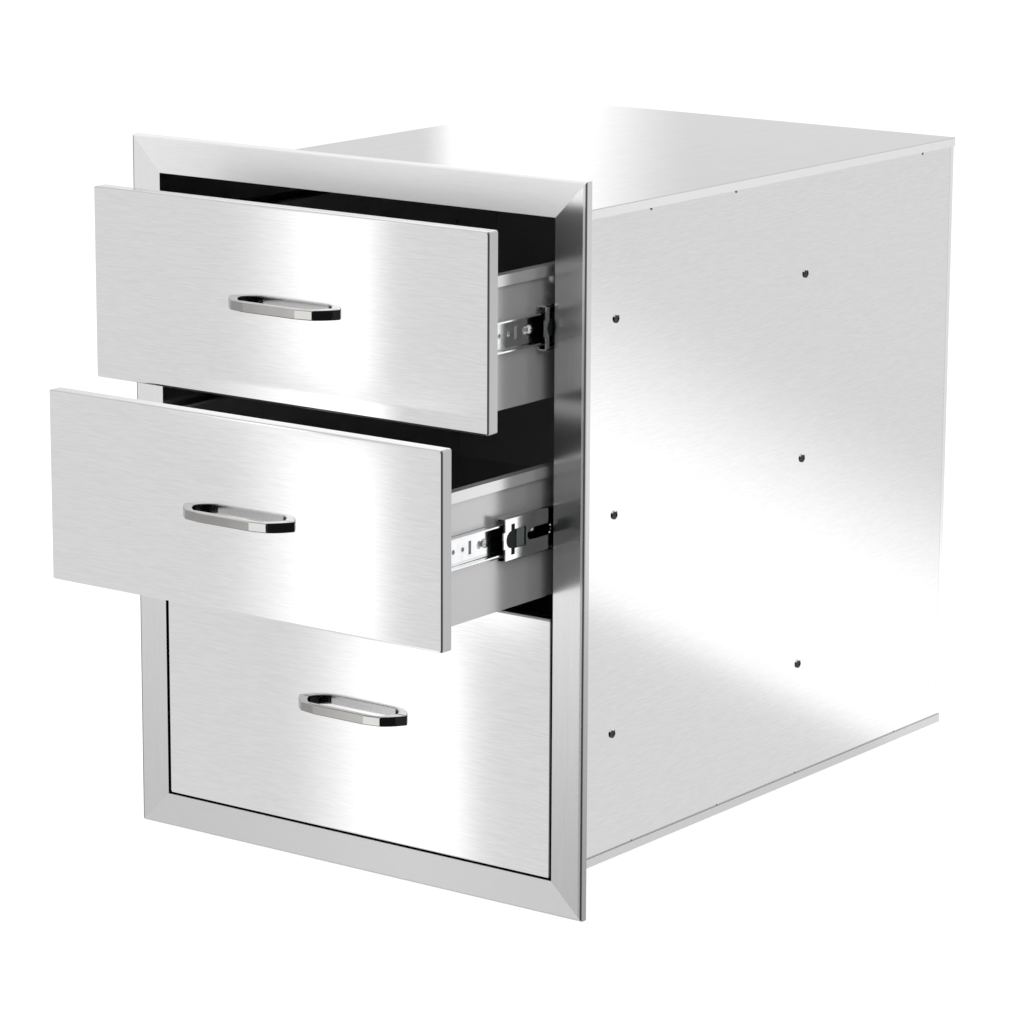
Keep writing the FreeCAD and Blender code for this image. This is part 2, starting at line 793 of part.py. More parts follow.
def build_drawer(name, z, height, pull, slide_height, lag):
    y = face_y - pull
    level = slide_levels[name]
    drawer_front(f"{name}_drawer_front", height, y, z)
    drawer_tray(f"{name}_drawer_tray", height, slide_height, y, z)
    drawer_handle(f"{name}_drawer_handle", y, z + height / 2)
    length = d.tray_sheet + d.front_t + d.handle_screw_in
    screw = screw_pattern(f"{name}_handle_screw", length)
    group(f"{name}_handle_screws", screw, [
        (side * d.handle_screw_x, y + d.front_t + d.tray_sheet, z + height / 2, head_back)
        for side in (1, -1)
    ])
    screw = screw_pattern(f"{name}_tray_screw", d.member_sheet + d.tray_sheet + d.tray_screw_proud)
    web = tray_half + d.member_sheet
    group(f"{name}_drawer_slide_screws", screw, [
        (side * web, slide_y - pull + place_y, level, head_right if side > 0 else head_left)
        for side in (1, -1) for place_y in tray_screw_ys
    ])
    middle_y = slide_y + lag - d.middle_share * pull
    for side, turned in drawer_sides.items():
        outer_member(f"{name}_{side}_slide_outer", turned, level)
        middle_member(f"{name}_{side}_slide_middle", turned, middle_y, level)
        inner_member(f"{name}_{side}_slide_inner", turned, slide_y - pull, level)
    latch_pair(f"{name}_slide_latches", middle_y, level)
    ball_x = inner_half - d.outer_ball_x
    tip = ball_x - d.ball_d / 2 - d.cage_play - d.cage_wall
    cage_y = slide_y + d.outer_cage_start - d.middle_share * pull / 2
    cage_pair(f"{name}_outer", outer_cage_web, tip, ball_x, outer_ball_z, cage_y, level)
    ball_x = inner_half - d.inner_ball_x
    tip = tray_half + d.member_sheet + d.cage_side
    cage_y = slide_y + d.inner_cage_start - (1 + d.middle_share) * pull / 2
    cage_pair(f"{name}_inner", inner_cage_web, tip, ball_x, inner_ball_z, cage_y, level)


build_drawer("top", top_z, d.small_front_h, d.top_pull, d.small_slide_z, d.top_float)
build_drawer("middle", middle_z, d.small_front_h, d.middle_pull, d.small_slide_z, d.middle_float)
build_drawer("bottom", bottom_z, deep_front_h, d.bottom_pull, deep_front_h / 2, d.bottom_float)

doc.recompute()
for item in doc.Objects:
    if "Invalid" in item.State or "Error" in item.State:
        raise RuntimeError(f"{item.Label} failed: {item.State}")
for item in nodes:
    if item.Shape.isNull() or not item.Shape.isValid():
        raise RuntimeError(f"{item.Label} has no valid shape")

os.makedirs("parts", exist_ok=True)
for item in nodes:
    item.Shape.exportStep(f"parts/{item.Label}.step")
    print(item.Label, len(item.Shape.Solids), round(item.Shape.Volume, 1))
print(len(nodes), "nodes")
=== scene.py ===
import math

import bmesh
import bpy
from mathutils import Matrix, Vector


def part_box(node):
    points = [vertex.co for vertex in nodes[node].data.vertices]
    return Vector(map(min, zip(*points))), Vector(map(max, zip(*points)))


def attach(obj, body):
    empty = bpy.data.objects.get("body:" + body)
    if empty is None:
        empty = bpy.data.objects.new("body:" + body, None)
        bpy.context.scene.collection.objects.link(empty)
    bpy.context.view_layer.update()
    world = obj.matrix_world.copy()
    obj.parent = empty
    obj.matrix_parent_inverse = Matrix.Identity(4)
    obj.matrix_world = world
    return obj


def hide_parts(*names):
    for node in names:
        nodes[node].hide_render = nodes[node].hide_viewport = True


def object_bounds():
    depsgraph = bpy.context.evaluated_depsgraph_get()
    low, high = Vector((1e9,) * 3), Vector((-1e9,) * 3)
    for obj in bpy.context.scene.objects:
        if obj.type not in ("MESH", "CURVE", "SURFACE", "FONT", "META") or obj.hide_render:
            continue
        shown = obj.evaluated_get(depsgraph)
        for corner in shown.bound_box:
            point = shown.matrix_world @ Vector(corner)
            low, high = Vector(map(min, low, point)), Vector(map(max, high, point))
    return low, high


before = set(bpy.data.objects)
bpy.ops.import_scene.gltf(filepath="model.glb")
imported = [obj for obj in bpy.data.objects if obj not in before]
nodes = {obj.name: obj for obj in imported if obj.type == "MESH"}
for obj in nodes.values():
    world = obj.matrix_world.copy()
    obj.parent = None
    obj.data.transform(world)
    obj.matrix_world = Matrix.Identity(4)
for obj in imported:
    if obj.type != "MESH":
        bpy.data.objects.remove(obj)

# Looks for the built-in drawer unit: brushed stainless steel, bright slides and polished bow handles
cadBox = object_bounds()
drawers = ("top", "middle", "bottom")
sides = {"left": -1, "right": 1}
near = 0.00001  # two heights or depths this close are the same one


# One value in a material's maths, so that sums on sockets read as plain sums
class Value:
    def __init__(self, finish, socket):
        self.finish = finish
        self.socket = socket

    def work(self, operation, first, second):
        return self.finish.add("ShaderNodeMath", {"operation": operation}, {0: first, 1: second})

    def __add__(self, other):
        return self.work("ADD", self, other)

    def __radd__(self, other):
        return self.work("ADD", other, self)

    def __sub__(self, other):
        return self.work("SUBTRACT", self, other)

    def __rsub__(self, other):
        return self.work("SUBTRACT", other, self)

    def __mul__(self, other):
        return self.work("MULTIPLY", self, other)

    def __rmul__(self, other):
        return self.work("MULTIPLY", other, self)

    def __gt__(self, other):
        return self.work("GREATER_THAN", self, other)

    def __lt__(self, other):
        return self.work("LESS_THAN", self, other)

    def atLeast(self, other):
        return self.work("MAXIMUM", self, other)

    def between(self, low, high):
        return (self > low) * (self < high)


# A node tree that is being filled in
class Finish:
    def __init__(self, owner):
        owner.use_nodes = True
        self.tree = owner.node_tree
        self.tree.nodes.clear()

    def add(self, kind, settings=None, values=None, output=0):
        node = self.tree.nodes.new(kind)
        for setting, choice in (settings or {}).items():
            setattr(node, setting, choice)
        for place, value in (values or {}).items():
            self.put(node.inputs[place], value)
        return Value(self, node.outputs[output])

    def put(self, socket, value):
        if isinstance(value, Value):
            self.tree.links.new(value.socket, socket)
        else:
            socket.default_value = value

    def surface(self, shader, kind="ShaderNodeOutputMaterial"):
        self.put(self.tree.nodes.new(kind).inputs["Surface"], shader)

    def place(self):
        return self.add("ShaderNodeTexCoord", output="Object")

    def axes(self, vector):
        split = self.tree.nodes.new("ShaderNodeSeparateXYZ")
        self.put(split.inputs[0], vector)
        return [Value(self, socket) for socket in split.outputs]

    def size(self, value):
        return self.add("ShaderNodeMath", {"operation": "ABSOLUTE"}, {0: value})

    # how far across, back and up a spot lies, and which way the surface faces there
    def spot(self):
        return self.axes(self.place())

    def facing(self):
        return self.axes(self.add("ShaderNodeNewGeometry", output="Normal"))

    def ray(self, kind):
        return self.add("ShaderNodeLightPath", output=kind)

    # streaks that run along one axis: how many to a metre along the grain and across it
    def streaks(self, axis, along, across, detail, shift=0.0):
        steps = [across, across, across]
        steps[axis] = along
        spot = self.add("ShaderNodeMapping", {}, {"Vector": self.place(), "Scale": steps, "Location": [shift] * 3})
        return self.add("ShaderNodeTexNoise", {}, {
            "Vector": spot, "Scale": 1.0, "Detail": detail, "Roughness": brushes["noiseRough"],
        })

    def mixColour(self, factor, first, second):
        node = self.tree.nodes.new("ShaderNodeMix")
        node.data_type = "RGBA"
        self.put(node.inputs[0], factor)
        self.put(node.inputs[6], first)
        self.put(node.inputs[7], second)
        return Value(self, node.outputs[2])

    def smooth(self, value, low, high, first=0.0, last=1.0):
        return self.add("ShaderNodeMapRange", {"interpolation_type": "SMOOTHSTEP"}, {
            "Value": value, "From Min": low, "From Max": high, "To Min": first, "To Max": last,
        })


# How fine and broad streaks are mixed, and which part of a noise's range the tones are spread over
brushes = {"fineShare": 0.65, "broadShift": 3.7, "low": 0.3, "high": 0.7, "bumpDepth": 0.0001, "noiseRough": 0.55}
clouds = {"detail": 3.0, "noiseRough": 0.6, "low": 0.25, "high": 0.75, "sleek": 0.8, "dull": 1.25}


def newMaterial(name):
    material = bpy.data.materials.new(name)
    return material, Finish(material)


def grey(level):
    return (level, level, level, 1.0)


def shaded(tint, share):
    return (*[min(1.0, c * share) for c in tint], 1.0)


# Brushed sheet. grain is the axis of the brushing, and turn lays the stretched highlight across it.
# Each zone is a part of the sheet whose tone is painted light and shade, standing in for highlights, shade and
# reflections: a mask, a level and how metallic it is.
# The fade is painted shade that darkens the sheet towards the bottom: from and to heights, and the share of the colour
# that is left at each.
def brushedSheet(name, look, paintedZones=()):
    material, finish = newMaterial(name)
    fine = finish.streaks(look["grain"], look["fineAlong"], look["fineAcross"], 2.0)
    broad = finish.streaks(look["grain"], look["broadAlong"], look["broadAcross"], 1.0, brushes["broadShift"])
    brushing = fine * brushes["fineShare"] + broad * (1.0 - brushes["fineShare"])
    tone = finish.smooth(brushing, brushes["low"], brushes["high"])
    tint, contrast = look["tint"], look["contrast"]
    colour = finish.mixColour(tone, shaded(tint, 1.0 - contrast), shaded(tint, 1.0 + contrast))
    metal = look["metal"]
    # painted light and shade laid over the grain
    for zone, level, zoneMetal in paintedZones:
        mask = zone(finish)
        colour = finish.mixColour(mask, colour, grey(level))
        metal = metal + mask * (zoneMetal - metal)
    # painted shade: darker towards the bottom
    if "paintedFade" in look:
        height = finish.spot()[2]
        colour = finish.mixColour(finish.smooth(height, *look["paintedFade"]), grey(0.0), colour)
    dull, spread = look["rough"], look["roughSpread"]
    rough = finish.smooth(fine, brushes["low"], brushes["high"], dull - spread, dull + spread)
    bump = finish.add("ShaderNodeBump", {}, {
        "Height": brushing, "Strength": look["bump"], "Distance": brushes["bumpDepth"],
    })
    finish.surface(finish.add("ShaderNodeBsdfPrincipled", {}, {
        "Base Color": colour, "Metallic": metal, "Roughness": rough, "Normal": bump,
        "Anisotropic": look["stretch"], "Anisotropic Rotation": look["turn"],
    }))
    return material


# Metal or plastic without a grain, a little cloudy. Each zone is a part whose tone is painted light and shade, standing
# in for highlights and reflections: a mask and a level.
def plainMetal(name, look, paintedZones=()):
    material, finish = newMaterial(name)
    cloud = finish.add("ShaderNodeTexNoise", {}, {
        "Vector": finish.place(), "Scale": look["cloud"], "Detail": clouds["detail"], "Roughness": clouds["noiseRough"],
    })
    tone = finish.smooth(cloud, brushes["low"], brushes["high"])
    colour = finish.mixColour(tone, shaded(look["tint"], 1.0 - look["contrast"]), shaded(look["tint"], 1.0))
    # painted highlights and reflections laid over the cloudy tone
    for zone, level in paintedZones:
        colour = finish.mixColour(zone(finish), colour, grey(level))
    least, most = look["rough"] * clouds["sleek"], look["rough"] * clouds["dull"]
    rough = finish.smooth(cloud, clouds["low"], clouds["high"], least, most)
    finish.surface(finish.add("ShaderNodeBsdfPrincipled", {}, {
        "Base Color": colour, "Metallic": look["metal"], "Roughness": rough,
        "Specular IOR Level": look.get("shine", 0.5),
    }))
    return material


# Places where the sheet's tone is painted lighter and darker, as the light and shade of a fold or an edge, in metres.
# Each X is counted from the unit's middle.
folds = {
    "lipX": 0.2004, "lipLine": 0.0009,  # the pans' lips, painted lighter as a painted highlight, and the painted dark line along their edges
    "rimX": 0.1868,  # the trays' rolled rims, painted lighter as a painted highlight
    "shineX": 0.2248, "bendX": 0.2268, "returnX": 0.2283,  # the trim's outer bend, from its face to its return: a painted highlight, a painted dark line, then the return's painted shade
    "rearStripHighlight": 0.005, "rearLineShade": 0.0007,  # the sides' rear flange, painted lighter as a painted highlight, and the painted dark line beside it
    "lowRailTop": 0.1, "openFronts": 0.3,  # heights: below the one is the bottom rail, painted darker as painted shade, above the other two fronts, whose top edges get a painted highlight
    "darkEnd": -0.19, "lightEnd": 0.0,  # painted shade: the top edges of those fronts go from darker to lighter between these
}
# How squarely a face looks along an axis, 1 being straight along it. Faces picked this way are painted lighter and
# darker as highlights, shade and reflections.
turned = {
    "topEdgeHighlight": 0.6, "topBendShade": (0.3, 0.9), "sideEdgeShade": 0.9, "sideBendShade": (0.42, 0.97), "forward": -0.2,
    "up": 0.5, "back": 0.3, "left": -0.4,
}
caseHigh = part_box("cabinet_right_side")[1].z + 0.0008  # the sides' top with the top pan's sheet on it
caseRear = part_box("cabinet_right_side")[1].y
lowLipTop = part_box("cabinet_bottom")[1].z


def acrossPart(finish):
    return finish.size(finish.spot()[0])


# the pans' lips, painted lighter as a painted highlight
def lipHighlight(finish):
    return acrossPart(finish) > folds["lipX"]


# painted dark line along the lips' edges
def lipEdgeShade(finish):
    height = finish.spot()[2]
    return lipHighlight(finish) * (height > caseHigh - folds["lipLine"]).atLeast(height < folds["lipLine"])


# painted dark line along the top edge of the bottom pan's lip
def lowLipEdgeShade(finish):
    return lipHighlight(finish) * (finish.spot()[2] > lowLipTop - folds["lipLine"])


# the trays' rims, painted lighter as a painted highlight
def trayRimHighlight(finish):
    return acrossPart(finish) > folds["rimX"]


# painted highlight on the right stile's outer bend
def trimBendHighlight(finish):
    return finish.spot()[0] > folds["shineX"]


# painted dark line along the stiles' outer bend
def trimBendShade(finish):
    return acrossPart(finish) > folds["bendX"]


# the stiles' returns, painted darker as painted shade
def trimReturnShade(finish):
    return acrossPart(finish) > folds["returnX"]


# the bottom rail, painted darker than the top rail as painted shade
def lowRailShade(finish):
    return finish.spot()[2] < folds["lowRailTop"]


# the sides' rear strip, painted lighter as a painted highlight
def rearStripHighlight(finish):
    return finish.spot()[1] > caseRear - folds["rearStripHighlight"]


# painted dark line beside the rear strip
def rearLineShade(finish):
    start = caseRear - folds["rearStripHighlight"]
    return finish.spot()[1].between(start, start + folds["rearLineShade"])


# painted highlight on the top edges of the two fronts that stand open
def topEdgeHighlight(finish):
    return (finish.facing()[2] > turned["topEdgeHighlight"]) * (finish.spot()[2] > folds["openFronts"])


# painted shade: those top edges darker towards the left
def topEdgeLeftShade(finish):
    return topEdgeHighlight(finish) * finish.smooth(finish.spot()[0], folds["darkEnd"], folds["lightEnd"], 1.0, 0.0)


# painted dark line on the bevels between a front's face and its top edge
def topBendShade(finish):
    return finish.facing()[2].between(*turned["topBendShade"])


# painted dark line on the bevels between a front's face and its sides
def sideBendShade(finish):
    across, depth, _ = finish.facing()
    return finish.size(across).between(*turned["sideBendShade"]) * (depth < turned["forward"])


# painted shade: the fronts' sides darker
def sideEdgeShade(finish):
    return finish.size(finish.facing()[0]) > turned["sideEdgeShade"]


# painted highlight: faces turned up are lighter
def facingUpHighlight(finish):
    return finish.facing()[2] > turned["up"]


# painted reflection: faces turned to the back are lighter
def facingBackReflection(finish):
    return finish.facing()[1] > turned["back"]


# painted reflection: faces turned to the left are lighter
def facingLeftReflection(finish):
    return finish.facing()[0] < turned["left"]


# painted reflection: faces turned to the right are near black
def facingRightReflection(finish):
    return finish.facing()[0].between(*turned["sideBendShade"])


steel = {
    "tint": (0.655, 0.655, 0.657), "metal": 1.0, "contrast": 0.04, "rough": 0.1, "roughSpread": 0.004, "bump": 0.003,
    "fineAlong": 75.0, "fineAcross": 1300.0, "broadAlong": 38.0, "broadAcross": 620.0,
    "stretch": 0.5, "turn": 0.25, "grain": 0,
}
# painted light: the rails are a lighter copy of the steel, partly matt
rail = dict(steel, rough=0.3, stretch=0.6, metal=0.36, tint=(0.84, 0.838, 0.838), contrast=0.02)
stile = dict(steel, rough=0.2, grain=2, turn=0.0, contrast=0.022, fineAlong=25.0, broadAlong=10.0)
# painted light and shade: the stiles are lighter copies of the steel, the right one lighter than the left, and each is
# darkened towards the bottom as painted shade
leftStile = dict(stile, tint=(0.7, 0.7, 0.7), paintedFade=(-0.1, 0.45, 0.7, 1.0))
rightStile = dict(stile, tint=(0.78, 0.774, 0.776), paintedFade=(-0.1, 0.55, 0.53, 1.0))
caseSide = dict(steel, grain=1, rough=0.12)
# painted shade: the top pan is a darker copy of the steel
topPan = dict(
    steel, grain=1, stretch=0.0, contrast=0.07, broadAlong=26.0, broadAcross=130.0, tint=(0.375, 0.375, 0.377),
)
lowPan = dict(steel, grain=1, stretch=0.0)
tray = dict(
    steel, grain=1, contrast=0.008, rough=0.2, roughSpread=0.0, bump=0.0, metal=0.6, tint=(0.545, 0.537, 0.541),
)
# painted reflection: the bow handles get a dark tint for the dark that their polished metal mirrors
handle = {"tint": (0.285, 0.278, 0.27), "contrast": 0.08, "rough": 0.05, "metal": 1.0, "cloud": 60.0}
slide = {"tint": (0.9, 0.91, 0.92), "contrast": 0.06, "rough": 0.11, "metal": 1.0, "cloud": 90.0}
cage = {"tint": (0.5, 0.5, 0.5), "contrast": 0.2, "rough": 0.3, "metal": 1.0, "cloud": 120.0}
ball = {"tint": (0.75, 0.75, 0.75), "contrast": 0.05, "rough": 0.08, "metal": 1.0, "cloud": 200.0}
latch = {
    "tint": (0.012, 0.015, 0.014), "contrast": 0.3, "rough": 0.4, "metal": 0.0, "cloud": 150.0, "shine": 0.12,
}
lever = {"tint": (0.07, 0.085, 0.08), "contrast": 0.2, "rough": 0.35, "metal": 0.0, "cloud": 150.0}
screw = {"tint": (0.55, 0.55, 0.54), "contrast": 0.2, "rough": 0.2, "metal": 1.0, "cloud": 300.0}
sideScrew = {"tint": (0.07, 0.07, 0.073), "contrast": 0.3, "rough": 0.2, "metal": 1.0, "cloud": 300.0}
weld = {"tint": (0.16, 0.16, 0.165), "contrast": 0.4, "rough": 0.3, "metal": 1.0, "cloud": 500.0}

# painted highlight on the open fronts' top edges, painted shade on their left part, along the bends and on the sides
frontSteel = brushedSheet("brushedFront", steel, [
    (topEdgeHighlight, 0.95, 0.35), (topEdgeLeftShade, 0.62, 0.6), (topBendShade, 0.55, 1.0),
    (sideEdgeShade, 0.47, 1.0), (sideBendShade, 0.12, 1.0),
])
railSteel = brushedSheet("brushedRail", rail, [(lowRailShade, 0.62, 0.36)])
# painted highlight, painted dark line and painted shade along the stiles' outer bend and return
stilePaintedZones = [(trimBendHighlight, 0.7, 0.3), (trimBendShade, 0.16, 1.0), (trimReturnShade, 0.6, 1.0)]
leftStileSteel = brushedSheet("brushedLeftStile", leftStile, stilePaintedZones)
rightStileSteel = brushedSheet("brushedRightStile", rightStile, stilePaintedZones)
# painted highlight on the rear strip and a painted dark line beside it
sideSteel = brushedSheet("brushedSide", caseSide, [(rearStripHighlight, 0.71, 1.0), (rearLineShade, 0.5, 1.0)])
# the pans' lips are painted lighter as a painted highlight, with a painted dark line along their edges
topPanSteel = brushedSheet("brushedTopPan", topPan, [(lipHighlight, 0.84, 0.3), (lipEdgeShade, 0.55, 1.0)])
lowPanSteel = brushedSheet("brushedLowPan", lowPan, [(lipHighlight, 0.72, 0.15), (lowLipEdgeShade, 0.3, 1.0)])
# painted highlight on the trays' rims
traySteel = brushedSheet("trayFinish", tray, [(trayRimHighlight, 0.72, 0.7)])
# painted highlight on the bows' tops, painted reflections lighter on their backs and left ends and near black on their
# right ends
handleSteel = plainMetal(
    "polishedHandlePaintedReflections", handle, [(facingUpHighlight, 0.6), (facingBackReflection, 0.8), (facingLeftReflection, 0.42), (facingRightReflection, 0.02)],
)
zinc = plainMetal("brightZinc", slide)
cageSteel = plainMetal("cageSteel", cage)
ballSteel = plainMetal("ballSteel", ball)
plastic = plainMetal("latchPlastic", latch)
leverPlastic = plainMetal("leverPlastic", lever)
screwSteel = plainMetal("screwSteel", screw)
# the side screws' heads: dark grey, their tops painted lighter as a painted highlight
darkScrewSteel = plainMetal("darkScrewSteel", sideScrew, [(facingUpHighlight, 0.9)])
weldSteel = plainMetal("weldSteel", weld)
trimSteels = {
    "trim_top_rail": railSteel, "trim_bottom_rail": railSteel,
    "trim_left_stile": leftStileSteel, "trim_right_stile": rightStileSteel,
}


def dress(name, material):
    for slot in nodes[name].material_slots:
        slot.material = material


for name, material in trimSteels.items():
    dress(name, material)
for name in ("cabinet_left_side", "cabinet_right_side", "cabinet_back"):
    dress(name, sideSteel)
dress("cabinet_top", topPanSteel)
dress("cabinet_bottom", lowPanSteel)
dress("cabinet_slide_screws", darkScrewSteel)
for drawer in drawers:
    dress(f"{drawer}_drawer_front", frontSteel)
    dress(f"{drawer}_drawer_tray", traySteel)
    dress(f"{drawer}_drawer_handle", handleSteel)
    dress(f"{drawer}_handle_screws", screwSteel)
    dress(f"{drawer}_drawer_slide_screws", screwSteel)
    dress(f"{drawer}_slide_latches", plastic)
    for which in ("inner", "outer"):
        dress(f"{drawer}_{which}_ball_cages", cageSteel)
        dress(f"{drawer}_{which}_balls", ballSteel)
    for side in sides:
        for member in ("inner", "middle", "outer"):
            dress(f"{drawer}_{side}_slide_{member}", zinc)
print("finishes done")


def link(thing):
    bpy.context.scene.collection.objects.link(thing)


# A finished piece that takes the place of CAD nodes or adds to them
def newPiece(name, bm, material, body, replaced=()):
    mesh = bpy.data.meshes.new(name)
    bm.to_mesh(mesh)
    bm.free()
    mesh.materials.append(material)
    piece = bpy.data.objects.new(name, mesh)
    link(piece)
    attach(piece, body)
    if replaced:
        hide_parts(*replaced)


# A copy of a CAD node with its triangles joined up and the wanted edges rounded
joining = {"merge": 0.00001, "flat": 1.0, "crease": 25.0}  # metres, and degrees between two faces


def roundedCopy(node, look, wanted):
    bm = bmesh.new()
    bm.from_mesh(nodes[node].data)
    bmesh.ops.remove_doubles(bm, verts=bm.verts, dist=joining["merge"])
    bmesh.ops.dissolve_limit(bm, angle_limit=math.radians(joining["flat"]), verts=bm.verts, edges=bm.edges)
    crease = math.radians(joining["crease"])
    creases = [edge for edge in bm.edges if len(edge.link_faces) == 2 and edge.calc_face_angle(0.0) > crease]
    bmesh.ops.bevel(
        bm, geom=[edge for edge in creases if wanted(edge)], offset=look["edgeRound"], offset_type="OFFSET",
        affect="EDGES", segments=look["steps"], profile=0.5, material=-1, clamp_overlap=True,
    )
    for face in bm.faces:
        face.smooth = face.calc_area() < look["flatArea"]
    return bm


# Drawer fronts: the pressed edge round the face is softly rounded
fronts = {"edgeRound": 0.0018, "steps": 3, "flatArea": 0.0001, "rimX": 0.1}
for drawer in drawers:
    node = f"{drawer}_drawer_front"
    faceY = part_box(node)[0].y

    def roundTheFace(edge):
        return all(abs(vert.co.y - faceY) < near and abs(vert.co.x) > fronts["rimX"] for vert in edge.verts)

    bm = roundedCopy(node, fronts, roundTheFace)
    newPiece(f"{drawer}_front_skin", bm, frontSteel, f"{drawer}_drawer", (node,))

# Handles: the long edges of the bow are eased, above and below
handles = {"edgeRound": 0.0009, "steps": 3, "flatArea": 0.00001}
for drawer in drawers:
    node = f"{drawer}_drawer_handle"
    low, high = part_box(node)

    def alongTheBow(edge):
        first, second = [vert.co.z for vert in edge.verts]
        return abs(first - second) < near and (abs(first - low.z) < near or abs(first - high.z) < near)

    bm = roundedCopy(node, handles, alongTheBow)
    newPiece(f"{drawer}_bow_handle", bm, handleSteel, f"{drawer}_drawer", (node,))

# Trim: the mitres show as fine lines where the four lengths meet
trims = {"edgeRound": 0.0004, "steps": 2, "flatArea": 0.00002, "slant": 0.005}
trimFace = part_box("trim_top_rail")[0].y


def alongTheMitre(edge):
    first, second = [vert.co for vert in edge.verts]
    onTheFace = abs(first.y - trimFace) < near and abs(second.y - trimFace) < near
    return onTheFace and abs(first.x - second.x) > trims["slant"] and abs(first.z - second.z) > trims["slant"]


for node, material in trimSteels.items():
    bm = roundedCopy(node, trims, alongTheMitre)
    newPiece(node.replace("trim_", "mitred_"), bm, material, "cabinet", (node,))

# Tack welds under the top pan's lip and along the bottom pan's
welds = {
    "topRadius": 0.0013, "lowRadius": 0.0008, "thick": 0.5, "topDrop": 0.001, "lipHeight": 0.0078, "wallX": 0.2,
    "topYs": (0.1206, 0.2411, 0.5326), "lowYs": (0.1026, 0.2266, 0.3466, 0.5086), "round": 10, "rings": 6,
}
bm = bmesh.new()
for side in sides.values():
    spots = [(y, caseHigh - welds["lipHeight"] - welds["topDrop"], welds["topRadius"]) for y in welds["topYs"]]
    spots += [(y, welds["lipHeight"], welds["lowRadius"]) for y in welds["lowYs"]]
    for y, z, radius in spots:
        made = bmesh.ops.create_uvsphere(bm, u_segments=welds["round"], v_segments=welds["rings"], radius=radius)
        bmesh.ops.scale(bm, verts=made["verts"], vec=(welds["thick"], 1.0, 1.0))
        bmesh.ops.translate(bm, verts=made["verts"], vec=(side * welds["wallX"], y, z))
for face in bm.faces:
    face.smooth = True
newPiece("cabinet_tack_welds", bm, weldSteel, "cabinet")

# Levers of the stop latches, seen through the windows of the middle members
levers = {
    "start": 0.0145, "length": 0.0095, "height": 0.0142, "thick": 0.0008, "sink": 0.0001, "edge": 0.0002, "steps": 2,
}
for drawer in drawers:
    low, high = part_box(f"{drawer}_slide_latches")
    outer = high.x + levers["thick"] / 2 - levers["sink"]
    y = low.y + levers["start"] + levers["length"] / 2
    z = (low.z + high.z) / 2
    bm = bmesh.new()
    for side in sides.values():
        made = bmesh.ops.create_cube(bm, size=1.0)["verts"]
        bmesh.ops.scale(bm, verts=made, vec=(levers["thick"], levers["length"], levers["height"]))
        bmesh.ops.translate(bm, verts=made, vec=(side * outer, y, z))
    bmesh.ops.bevel(
        bm, geom=bm.edges[:], offset=levers["edge"], offset_type="OFFSET", affect="EDGES",
        segments=levers["steps"], profile=0.5, material=-1, clamp_overlap=True,
    )
    newPiece(f"{drawer}_latch_levers", bm, leverPlastic, f"{drawer}_middle_members")
print("pieces done")


# The studio's reflectors: how finely a card is cut up, and from how many mirrorings on it shows its later light
studio = {"cardSteps": 12, "laterFrom": 1.5}


# A reflector's light is soft at its borders, where it comes to the backdrop's white
def glow(name, look):
    material, finish = newMaterial(name)
    level = look["strength"]
    if "later" in look:
        level = level + (finish.ray("Glossy Depth") > studio["laterFrom"]) * (look["later"] - level)
    across, upward, _ = finish.axes(finish.add("ShaderNodeTexCoord", output="UV"))
    first, last, low, high = look["soft"]
    mask = finish.smooth(across, 0.0, first) * finish.smooth(1.0 - across, 0.0, last)
    mask = mask * finish.smooth(upward, 0.0, low) * finish.smooth(1.0 - upward, 0.0, high)
    light = finish.add("ShaderNodeEmission", {}, {"Strength": 1.0 + mask * (level - 1.0)})
    if "reach" in look:
        close = finish.ray("Ray Length") < look["reach"]
        clear = finish.add("ShaderNodeBsdfTransparent")
        light = finish.add("ShaderNodeMixShader", {}, {0: close, 1: clear, 2: light})
    finish.surface(light)
    material.cycles.emission_sampling = "NONE"
    return material


# A reflector only shows in metal. Its corners go round from the lower left as the object sees it.
def reflector(name, look):
    bm = bmesh.new()
    bmesh.ops.create_grid(bm, x_segments=studio["cardSteps"], y_segments=studio["cardSteps"], size=0.5)
    uvs = bm.loops.layers.uv.new("UVMap")
    low, lowFar, highFar, high = [Vector(c) for c in look["corners"]]
    spots = {vert: (vert.co.x + 0.5, vert.co.y + 0.5) for vert in bm.verts}
    for face in bm.faces:
        for loop in face.loops:
            loop[uvs].uv = spots[loop.vert]
    for vert, (s, t) in spots.items():
        vert.co = low.lerp(lowFar, s).lerp(high.lerp(highFar, s), t)
    mesh = bpy.data.meshes.new(name)
    bm.to_mesh(mesh)
    bm.free()
    card = bpy.data.objects.new(name, mesh)
    link(card)
    mesh.materials.append(glow(name + "Glow", look))
    card.visible_camera = False
    card.visible_diffuse = False
    card.visible_shadow = False


def upright(y, left, right, low, high):
    return [(left, y, low), (right, y, low), (right, y, high), (left, y, high)]


